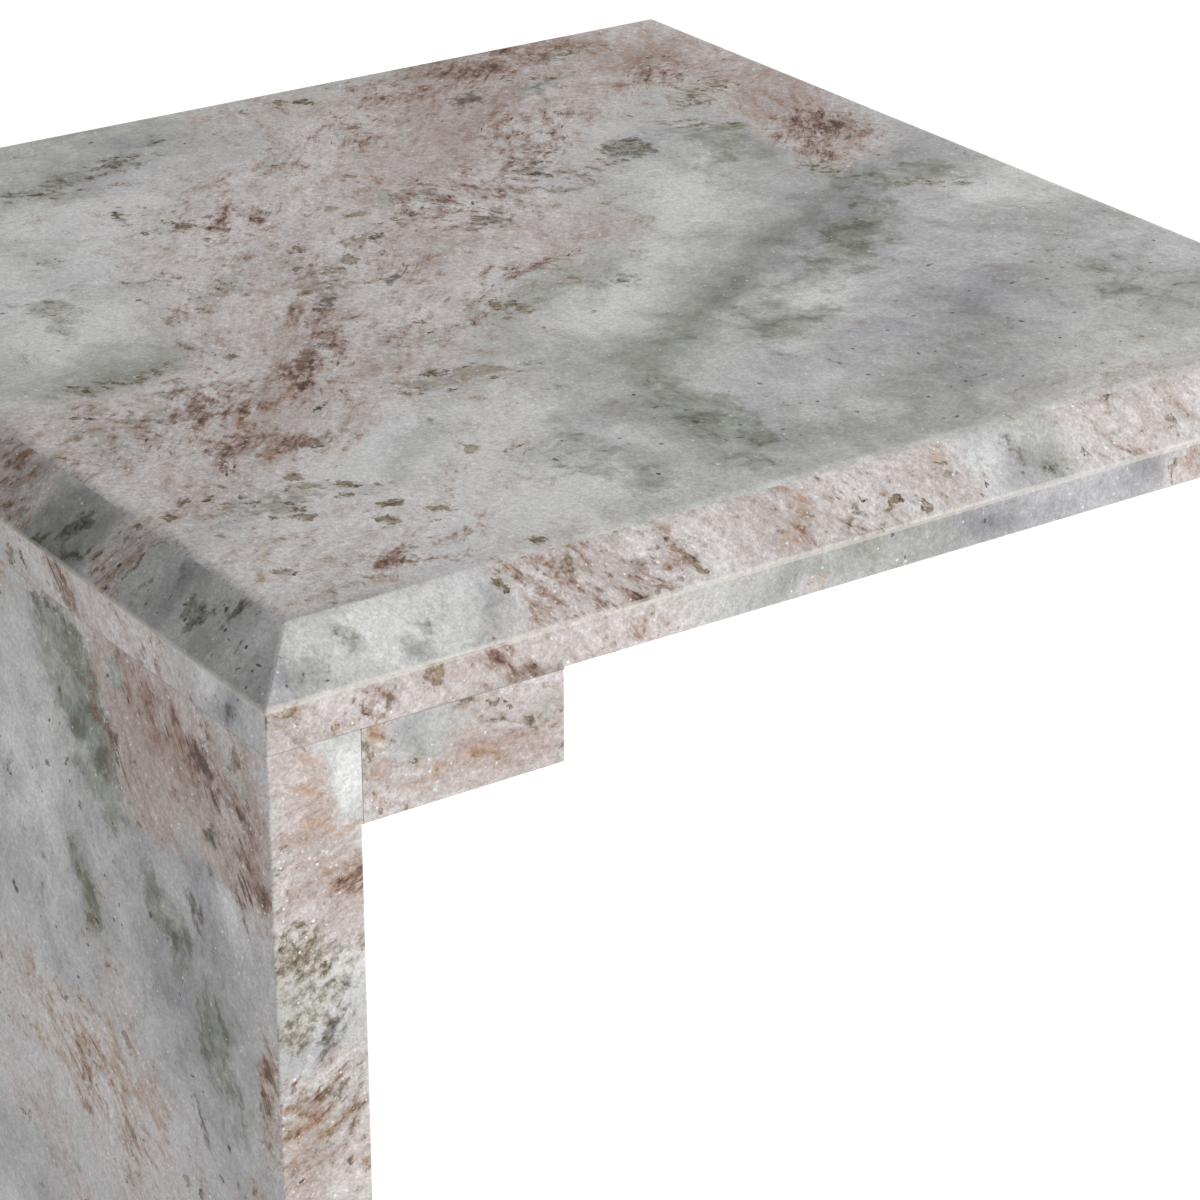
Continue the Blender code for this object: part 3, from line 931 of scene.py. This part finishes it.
def flow_place(finish, place, along, across):
    """The place measured along and across the flow of the rock, in cells per metre."""
    turned = finish.node("ShaderNodeMapping", {}, {"Vector": place, "Rotation": (0.0, 0.0, -FLOW)})
    return finish.vector("MULTIPLY", turned, (along, across, 1.0))


def rock_of_face(finish, stone_name, side):
    """Places on the sheet, the fields of the patches, and noises that swing round zero."""
    sheet, gentle, bent, place = bent_sheet(finish)

    def flowing(where, along, across, detail, roughness):
        return finish.noise(flow_place(finish, where, along, across), 1.0, detail, roughness) - 0.5

    crystals = finish.node(
        "ShaderNodeTexVoronoi", {"voronoi_dimensions": "2D"},
        {"Vector": sheet, "Scale": CRYSTALS_PER_METRE}, "Color")
    return SimpleNamespace(
        sheet=sheet, gentle=gentle, place=place,
        field={kind: sum_of_patches(finish, place, stone_name, side, kind) for kind in KINDS},
        dots=sum_of_patches(finish, bent, stone_name, side, "dots"),
        bands=flowing(place, 4.0, 9.0, 3.0, 0.55),
        veil=flowing(place, 16.0, 40.0, 2.0, 0.5),
        clouds=flowing(place, 14.0, 20.0, 7.0, 0.62),
        mottle=finish.noise(place, 75.0, 6.0, 0.70) - 0.5,
        streaks=flowing(gentle, 50.0, 160.0, 6.0, 0.75),
        fibre=flowing(gentle, 100.0, 360.0, 4.0, 0.72),
        pebbles=finish.noise(gentle, 300.0, 4.0, 0.72) - 0.5,
        grit=finish.noise(sheet, 420.0, 3.0, 0.75) - 0.5,
        crystals=finish.node("ShaderNodeSeparateColor", {}, {0: crystals}) - 0.5,
    )


print("kinds of patches in the ground and the grains:", len(KINDS))

# %% [markdown]
# The first layer is the ground: clouds that run from milky white to smoke grey or sage green,
# and the pink bands over them, thinned by haze and kept off the islands. Faces with a guide
# follow its patches, and on all other faces coarse noise decides where the bands run. Colours
# are picked on the scale of a screen, and a shader takes linear light, so one function
# turns one into the other. The weights in the sums are a recipe, and they were set one by one.

# %% Ground
GUIDED_BAND_REACH = 0.5
FREE_BAND_REACH = 4.0
USUAL_SAGE_LEVEL = 0.35
SAGE_LEVEL = {"top": 0.50, "left": 0.0, "front": 0.15}


def srgb(red, green, blue):
    """A colour picked on the 0 to 255 scale, as the linear colour that a shader takes."""
    return tuple((c / 255 / 12.92 if c < 11 else ((c / 255 + 0.055) / 1.055) ** 2.4)
                 for c in (red, green, blue)) + (1.0,)


MILK_TO_SMOKE = (
    (0.0, srgb(224, 223, 224)), (0.30, srgb(195, 194, 196)), (0.60, srgb(161, 160, 163)),
    (0.85, srgb(127, 126, 129)), (1.0, srgb(101, 100, 103)),
)
MILK_TO_SAGE = (
    (0.0, srgb(222, 222, 217)), (0.30, srgb(189, 191, 183)), (0.60, srgb(155, 158, 147)),
    (0.85, srgb(121, 125, 112)), (1.0, srgb(93, 98, 86)),
)
BLUSH_TO_BROWN = (
    (0.0, srgb(226, 221, 220)), (0.30, srgb(200, 191, 188)), (0.60, srgb(174, 154, 146)),
    (0.85, srgb(143, 115, 103)), (1.0, srgb(108, 83, 72)),
)


def lay_ground(finish, rock, side):
    """Clouds and bands. The layers that follow read how pink each place is."""
    field = rock.field
    band_reach = GUIDED_BAND_REACH if side else FREE_BAND_REACH
    rock.pink = finish.step(
        field["pink"] - field["plain"] + rock.bands * band_reach + rock.veil + rock.mottle * 1.1
        + rock.fibre * 0.4, -0.30, 0.45)
    island = finish.step(field["island"] + rock.mottle * 0.7, 0.14, 0.36)
    shade = (
        0.32 + (field["sage"] - field["bright"]) * 0.45 + island * (0.14 + rock.mottle * 0.8)
        + rock.clouds * 0.75 + rock.mottle * 0.8)
    sage_level = SAGE_LEVEL.get(side, USUAL_SAGE_LEVEL)
    green = finish.step(rock.bands * 2.0 + rock.veil + sage_level, 0.0, 0.7)
    milk = finish.mix(
        finish.math("MAXIMUM", green, island) * 0.8,
        finish.ramp(shade, MILK_TO_SMOKE), finish.ramp(shade, MILK_TO_SAGE))
    stain = (
        0.22 + field["blush"] * 0.30 - field["bright"] * 0.15 + rock.veil * 0.5 + rock.mottle * 0.6
        + rock.fibre * 0.40 + rock.streaks * 0.7 + rock.pebbles * 0.15)
    haze = finish.step(rock.clouds * 1.1 + rock.mottle * 1.1 + rock.veil * 0.4, 0.06, 0.36)
    return finish.mix(
        rock.pink * (1.0 - island) * (1.0 - 0.65 * haze), milk, finish.ramp(stain, BLUSH_TO_BROWN))


print("ground of", len(MILK_TO_SMOKE + MILK_TO_SAGE + BLUSH_TO_BROWN), "tones")

# %% [markdown]
# Water carried minerals into the rock and left stains: ochre in the bands, moss green and dusk
# in blots. Each is a field of patches, roughened by noise and cut off by a smooth step, and its
# colour is mixed in. Pale chips of broken crystal lie in the pink.

# %% Stains
OCHRE = srgb(190, 160, 133)
MOSS = srgb(103, 110, 90)
DUSK = srgb(77, 71, 61)
CHIP = srgb(226, 221, 219)


def lay_stains(finish, rock, colour):
    field, pink = rock.field, rock.pink
    ochre = finish.step(
        field["ochre"] + pink * 0.10 + rock.streaks * 1.2 + rock.mottle * 1.4 + rock.pebbles * 0.8,
        0.22, 0.60)
    colour = finish.mix(ochre * (0.25 + 0.45 * pink), colour, OCHRE)
    rock.moss = finish.step(
        field["moss"] + rock.pebbles * 1.2 + rock.mottle * 1.6 + rock.clouds * 0.5 - 0.40, 0.0, 0.6)
    colour = finish.mix(rock.moss * (0.75 - 0.5 * pink) * (1.0 + rock.grit * 2.0), colour, MOSS)
    dusk = finish.step(field["dusk"] + rock.pebbles * 1.6 + rock.mottle * 1.4 - 0.32, 0.0, 0.6)
    colour = finish.mix(dusk * (0.75 + rock.grit * 1.5), colour, DUSK)
    chips = finish.step(rock.grit * 0.6 - rock.pebbles * 2.0, 0.30, 0.50) * pink
    return finish.mix(chips * 0.5, colour, CHIP)


print("dusk in linear light:", [round(c, 3) for c in DUSK[:3]])

# %% [markdown]
# Iron turned parts of the pink brown. Fine flecks lie all over it, and where strokes crowd
# together, streaks of rust run along the flow, with umber in their hearts. Rust and umber come
# from one sum, cut off at two heights, so the umber always lies inside the rust.

# %% Browns
FLECK = srgb(126, 100, 78)
RUST = srgb(150, 112, 94)
UMBER = srgb(70, 54, 50)
MOST_CROWDED = 0.9


def lay_browns(finish, rock, colour):
    pink = rock.pink
    rock.crowd = finish.math("MINIMUM", rock.field["strokes"], MOST_CROWDED)
    flecks = (
        rock.pebbles * 1.6 + rock.fibre * 0.8 + rock.mottle * 0.8 + rock.clouds * 0.8
        + rock.crowd * 0.25 + pink * 0.05)
    colour = finish.mix(finish.step(flecks, 0.28, 0.54) * (0.15 + 0.55 * pink), colour, FLECK)
    trace = (
        rock.crowd * 0.55 + pink * (0.08 + rock.clouds * 0.9) + rock.streaks * 1.9
        + rock.mottle * 0.7)
    colour = finish.mix(finish.step(trace, 0.26, 0.70) * 0.65, colour, RUST)
    return finish.mix(finish.step(trace + rock.pebbles * 0.6, 0.52, 0.85) * 0.85, colour, UMBER)


print("umber in linear light:", [round(c, 3) for c in UMBER[:3]])

# %% [markdown]
# Olive grains grew along the rims of the pink bands. A Voronoi texture cuts the sheet into
# cells, and the random colour of a cell decides three things: its red whether the cell holds
# a grain, its green how large the grain is, and its blue how dark. Small meshes could be strewn
# over the stone instead, but there would be many thousands. OLIVE_GRAINS holds the cells per
# metre and the radius of a grain in cells. Gravel is a noise with a ramp, laid in small drifts.

# %% Olive grains and gravel
CHANCE_EDGE = 0.02
SMALLEST_GRAIN = 0.4
SOFT_RIM = 0.4
OLIVE_GRAINS = (110.0, 0.34)
OLIVES = (
    (0.0, srgb(158, 136, 98)), (0.4, srgb(128, 106, 72)), (0.7, srgb(104, 91, 66)),
    (1.0, srgb(66, 56, 46)),
)
GRAVEL = (
    (0.0, srgb(222, 220, 215)), (0.35, srgb(190, 185, 177)), (0.60, srgb(146, 138, 116)),
    (0.80, srgb(112, 103, 80)), (1.0, srgb(70, 63, 53)),
)


def grains(finish, place, density, radius, share, ragged):
    """Grains in a share of the cells: where they are, and a random tone for each."""
    cell = finish.node(
        "ShaderNodeTexVoronoi", {"voronoi_dimensions": "2D"},
        {"Vector": place, "Scale": density}, "Distance")
    chance = finish.node("ShaderNodeSeparateColor", {}, {0: cell.other("Color")})
    size, tone = chance.other(1), chance.other(2)
    chosen = finish.step(share - chance, 0.0, CHANCE_EDGE)
    reach = radius * (SMALLEST_GRAIN + size) + ragged
    return finish.step(reach - cell, 0.0, radius * SOFT_RIM) * chosen, tone


def lay_grains(finish, rock, colour):
    pink, olive_field = rock.pink, rock.field["olive"]
    rim = pink * (1.0 - pink) * 4.0
    share = (rim - 0.4) * 0.12 + pink * 0.09 + rock.clouds * 0.3 + olive_field * 0.9
    ragged = rock.pebbles * 0.6 + rock.grit * 0.8
    blobs, tone = grains(finish, rock.place, *OLIVE_GRAINS, share, ragged)
    soaked = finish.step(olive_field + rock.mottle * 1.4 + rock.pebbles * 1.6 - 0.45, 0.0, 0.7)
    rock.olive = finish.math("MAXIMUM", soaked * 0.5, blobs * (0.60 + 0.25 * tone))
    hue = finish.ramp(tone * 0.4 + 0.25 + rock.pebbles * 2.2 + rock.grit, OLIVES)
    colour = finish.mix(rock.olive * (1.0 + rock.grit * 2.0), colour, hue)
    gravel = finish.step(rock.field["gravel"] + rock.mottle + rock.pebbles * 0.8 - 0.20, 0.0, 0.5)
    hue = finish.ramp(rock.pebbles * 2.0 + rock.mottle * 1.2 + rock.grit * 1.6 + 0.48, GRAVEL)
    return finish.mix(gravel * 0.75, colour, hue)


print("olive cells are", round(1000 / OLIVE_GRAINS[0], 1), "mm wide")

# %% [markdown]
# Brown crystals lie in the pink like short strokes of a brush, all along the flow. They are
# grains again, in cells that are several times longer than wide, and they come in two sizes.
# Each size gives the cells per metre along and across the flow, the radius of a stroke in cells
# and how full its cells are.

# %% Strokes
STROKE_SIZES = ((180.0, 800.0, 0.36, 0.8), (75.0, 640.0, 0.36, 0.45))
STROKES = (
    (0.0, srgb(76, 54, 46)), (0.35, srgb(98, 66, 52)), (0.65, srgb(140, 104, 84)),
    (1.0, srgb(128, 108, 76)),
)


def lay_strokes(finish, rock, colour):
    crowd = rock.crowd * 0.22 + rock.pink * rock.clouds * 0.35 + rock.mottle * 0.3 - 0.02
    for along, across, radius, fullness in STROKE_SIZES:
        place = flow_place(finish, rock.gentle, along, across)
        strokes, tone = grains(finish, place, 1.0, radius, crowd * fullness, rock.grit * 0.6)
        rock.strokes = strokes * (0.15 + 0.85 * rock.pink) * (1.0 - 0.6 * tone)
        colour = finish.mix(rock.strokes, colour, finish.ramp(tone, STROKES))
    return colour


print("cells of the strokes are longer than wide by", [size[1] / size[0] for size in STROKE_SIZES])

# %% [markdown]
# Last come black specks and single dots, and tiny painted glints: white dots mixed into the
# colour that stand in for light caught by crystal faces. The finest grain of all makes each
# crystal of the stone a little lighter or darker than the next.

# %% Specks and painted glints
SPECK_GRAINS = (170.0, 0.10)
# Cells per metre and radius in cells of the painted glints.
PAINTED_GLINT_GRAINS = (620.0, 0.25)
BLACK = srgb(42, 42, 42)
# Near white for the painted glints.
PAINTED_GLINT_WHITE = srgb(250, 250, 248)


def lay_specks(finish, rock, colour):
    pink, grit = rock.pink, rock.grit
    share = rock.field["specks"] * 0.34 + 0.016 * (1.0 - pink) + 0.004
    specks, tone = grains(finish, rock.gentle, *SPECK_GRAINS, share, grit * 0.25)
    dots = finish.step(rock.dots + grit * 1.6, 0.45, 0.95)
    rock.specks = finish.math("MAXIMUM", specks * (0.5 + 0.4 * tone), dots * 0.8)
    colour = finish.mix(rock.specks, colour, BLACK)
    # Painted glints: white dots in the colour that stand in for light caught by crystal faces.
    share = 0.05 + pink * 0.06 + (rock.olive + rock.moss) * 0.05
    painted_glints, tone = grains(finish, rock.sheet, *PAINTED_GLINT_GRAINS, share, grit * 0.4)
    colour = finish.mix(painted_glints * (0.10 + 0.60 * tone), colour, PAINTED_GLINT_WHITE)
    return finish.scale(
        colour, 1.0 + grit * (0.55 + 0.30 * pink) + rock.mottle * 0.15 + rock.crystals * 0.24)


print("glint cells are", round(1000 / PAINTED_GLINT_GRAINS[0], 1), "mm wide")

# %% [markdown]
# The polish is satin: a little rougher on strokes and specks, with a faint unevenness that a
# bump gives. Along the rounded rim of a chamfer, pale cream is mixed into the colour as a
# painted highlight. Each guided side has a material of its own, and one more serves all other
# sides of a stone. Weighted normals keep the broad faces flat while the rounded edges shade
# smoothly.

# %% Polish the stones
SATIN = 0.50
SATIN_SHINE = 0.25
# Pale cream, and its share, for the painted highlight along a chamfer's rounded rim.
PAINTED_HIGHLIGHT_CREAM = srgb(238, 232, 222)
PAINTED_HIGHLIGHT_SHARE = 0.35
RIPPLES_PER_METRE = 90.0
RIPPLE_STRENGTH = 0.05
RIPPLE_DEPTH = 0.0006


def polish(finish, rock, colour):
    # The marked rim gets a painted highlight: pale cream mixed into the colour.
    highlit = finish.node("ShaderNodeAttribute", {"attribute_name": "worn_edge"}, {}, "Fac")
    ripples = finish.noise(rock.sheet, RIPPLES_PER_METRE)
    bump = finish.node(
        "ShaderNodeBump", {},
        {"Strength": RIPPLE_STRENGTH, "Distance": RIPPLE_DEPTH, "Height": ripples}, "Normal")
    finish.set(
        Base_Color=finish.mix(highlit * PAINTED_HIGHLIGHT_SHARE, colour, PAINTED_HIGHLIGHT_CREAM), Specular_IOR_Level=SATIN_SHINE,
        Roughness=SATIN + rock.mottle * 0.2 + rock.strokes * 0.12 + rock.specks * 0.2, Normal=bump)


def stone_finish(stone_name, side):
    finish = Finish(f"{stone_name}_{side or 'other_sides'}")
    rock = rock_of_face(finish, stone_name, side)
    colour = lay_ground(finish, rock, side)
    for lay in (lay_stains, lay_browns, lay_grains, lay_strokes, lay_specks):
        colour = lay(finish, rock, colour)
    polish(finish, rock, colour)
    return finish.material


def smooth_edges(piece):
    """Rounded edges shade smoothly while the broad faces stay flat."""
    piece.data.shade_smooth()
    piece.data.set_sharp_from_angle(angle=SHARP_ANGLE)
    normals = piece.modifiers.new("flat_faces", "WEIGHTED_NORMAL")
    normals.keep_sharp = True


for name, stone in stones.items():
    guided_sides = list(GUIDES.get(name, {}))
    stone.data.materials.clear()
    for side in [None] + guided_sides:
        stone.data.materials.append(stone_finish(name, side))
    lay_on_sheet(stone, name, guided_sides)
    smooth_edges(stone)
    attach(stone, "root")
    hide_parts(name)
    print(name, "has finishes of", [len(m.node_tree.nodes) for m in stone.data.materials], "nodes")

# %% [markdown]
# Resin as thin as a hair beds the stones on each other. A mason tints it like the stone, so a
# joint hardly shows. Each film fills the gap between two neighbours, over the area where they
# face each other. Round the upright it is ground flush with the faces. At the cleats, where no
# grinder fits, soft resin is only wiped out of the joint, so that a fine line stays. The pins
# pass through the films.

# %% Bed the joints in resin
JOINTS = (
    ("upright_panel", "top_slab"), ("base_slab", "upright_panel"), ("upper_cleat", "top_slab"),
    ("base_slab", "lower_cleat"), ("upright_panel", "upper_cleat"), ("upright_panel", "lower_cleat"),
)
FILM_CLEARANCE = 0.00002
GROUND_BACK = 0.00002
WIPED_BACK = 0.00014
FILM_ROUNDING = 0.00003
FILM_ROUNDING_STEPS = 2
RESIN = ((0.35, srgb(200, 194, 189)), (0.65, srgb(168, 156, 148)))
RESIN_CLOUDS_PER_METRE = 60.0


def film_box(first, second, set_back):
    """The gap between two stones' boxes, drawn in a little on all sides."""
    low, high = Vector(), Vector()
    for axis in range(3):
        start = max(stone_boxes[name][0][axis] for name in (first, second))
        end = min(stone_boxes[name][1][axis] for name in (first, second))
        in_gap = end < start
        low[axis] = end + FILM_CLEARANCE if in_gap else start + set_back
        high[axis] = start - FILM_CLEARANCE if in_gap else end - set_back
    return low, high


def lay_film(first, second):
    of_cleat = "cleat" in first + second
    low, high = film_box(first, second, WIPED_BACK if of_cleat else GROUND_BACK)
    bm = saw_block(low, high)
    bevel(bm, bm.edges[:], FILM_ROUNDING, FILM_ROUNDING_STEPS)
    film = link_mesh(f"{first}_{second}_resin", bm)
    holes = drill_holes(film, (low, high))
    print(film.name, "with", holes, "holes,", round(min(high - low) * 1000, 2), "mm thick")
    return film


def resin_finish():
    finish = Finish("tinted_resin")
    place = finish.node("ShaderNodeTexCoord", {}, {}, "Object")
    cloud = finish.noise(place, RESIN_CLOUDS_PER_METRE, 5.0, 0.6, dimensions="3D")
    finish.set(Base_Color=finish.ramp(cloud, RESIN), Roughness=0.3 + cloud * 0.3)
    return finish.material


tinted_resin = resin_finish()
for first, second in JOINTS:
    film = lay_film(first, second)
    film.data.materials.append(tinted_resin)
    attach(film, "root")

# %% [markdown]
# Pins and pads keep the shapes that they have in the packed model, and only get better finishes.
# The pins are ground from stainless steel, and the wheel leaves fine rings round them. The pads
# are cut from matt black rubber, which is always a little dusty.

# %% Steel pins and rubber pads
RINGS_PER_METRE = 2500.0
DUST_PER_METRE = 140.0
ALONG_Z = (0.1, 0.1, 1.0)
ALONG_X = (1.0, 0.1, 0.1)
STEEL = ((0.3, srgb(172, 172, 176)), (0.7, srgb(206, 206, 208)))
RUBBER = ((0.4, srgb(36, 36, 37)), (0.75, srgb(66, 65, 63)))


def steel_finish(name, along):
    finish = Finish(name)
    place = finish.vector("MULTIPLY", finish.node("ShaderNodeTexCoord", {}, {}, "Object"), along)
    rings = finish.noise(place, RINGS_PER_METRE, 3.0, 0.6, dimensions="3D")
    finish.set(Base_Color=finish.ramp(rings, STEEL), Metallic=1.0, Roughness=0.2 + rings * 0.3)
    return finish.material


def rubber_finish():
    finish = Finish("dusty_rubber")
    place = finish.node("ShaderNodeTexCoord", {}, {}, "Object")
    dust = finish.noise(place, DUST_PER_METRE, 6.0, 0.65, dimensions="3D")
    finish.set(Base_Color=finish.ramp(dust, RUBBER), Roughness=0.7 + dust * 0.25)
    return finish.material


upright_steel = steel_finish("upright_pin_steel", ALONG_Z)
level_steel = steel_finish("level_pin_steel", ALONG_X)
rubber = rubber_finish()
for name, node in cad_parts.items():
    if "_pin_" in name:
        node.material_slots[0].material = level_steel if "_back_pin_" in name else upright_steel
    elif name.startswith("pad_"):
        node.material_slots[0].material = rubber
print("pins:", len(pin_boxes), "pads:", sum(name.startswith("pad_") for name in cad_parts))

# %% [markdown] Polishing must not make a table larger or smaller.
